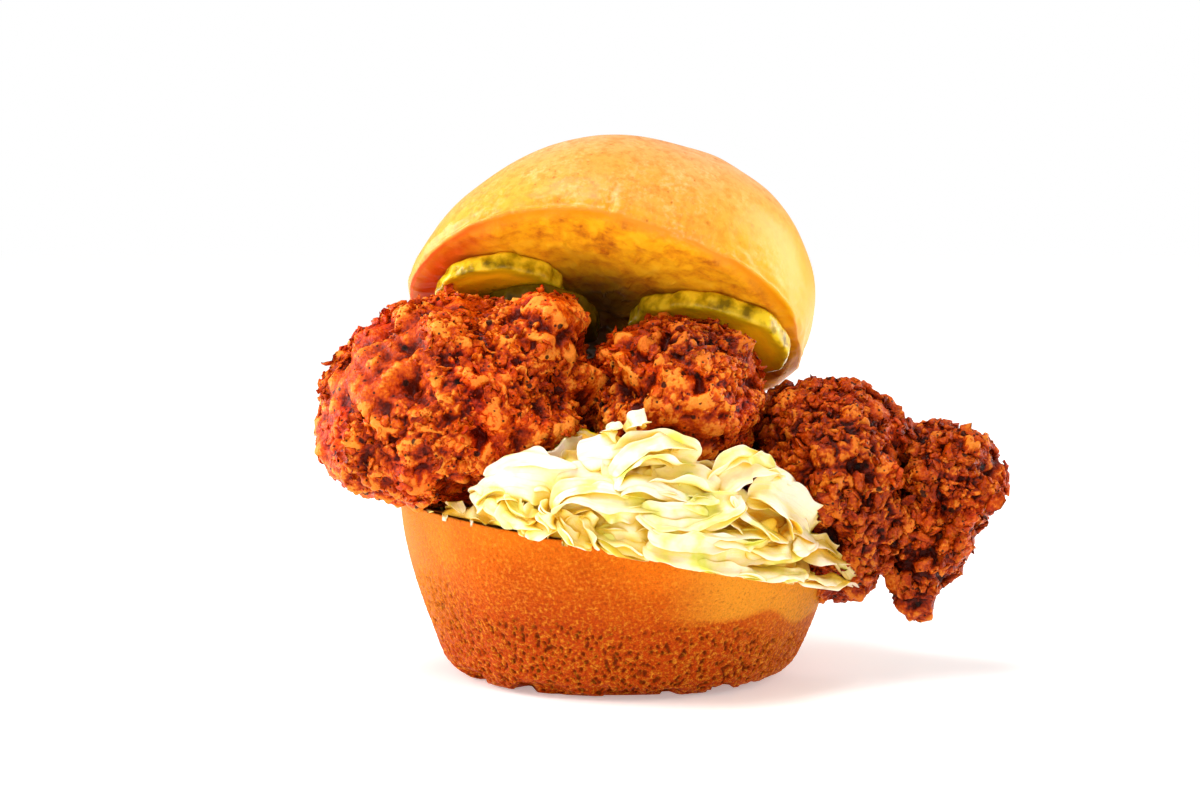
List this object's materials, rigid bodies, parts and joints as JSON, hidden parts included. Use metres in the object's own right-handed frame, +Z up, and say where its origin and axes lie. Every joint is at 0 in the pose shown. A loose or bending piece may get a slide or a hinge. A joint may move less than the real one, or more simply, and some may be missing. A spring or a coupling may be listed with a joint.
{
  "type": "chicken burger",
  "caption": "Fried chicken burger: a craggy fillet overhanging a split bun, with creamy cabbage slaw below it and pickle slices above.",
  "frame": {"origin": "centre of the bun heel's flat foot, on the surface it stands on", "axes": "+Z up; +X to the right along the fillet, the longest extent; -Y is the front, where the crown is lifted open"},
  "size_m": [0.1584, 0.1115, 0.1272],
  "materials": {
    "bun_crust": "baked, satin",
    "fried_crust": "fried, craggy, a little oily",
    "cabbage_slaw": "wet, creamy",
    "pickle": "wet"
  },
  "bodies": {
    "root": {"heel": "bun_crust", "crown": "bun_crust", "chicken": "fried_crust", "slaw": "cabbage_slaw", "pickle_left": "pickle", "pickle_middle": "pickle", "pickle_right": "pickle", "pickle_low": "pickle"}
  },
  "joints": []
}
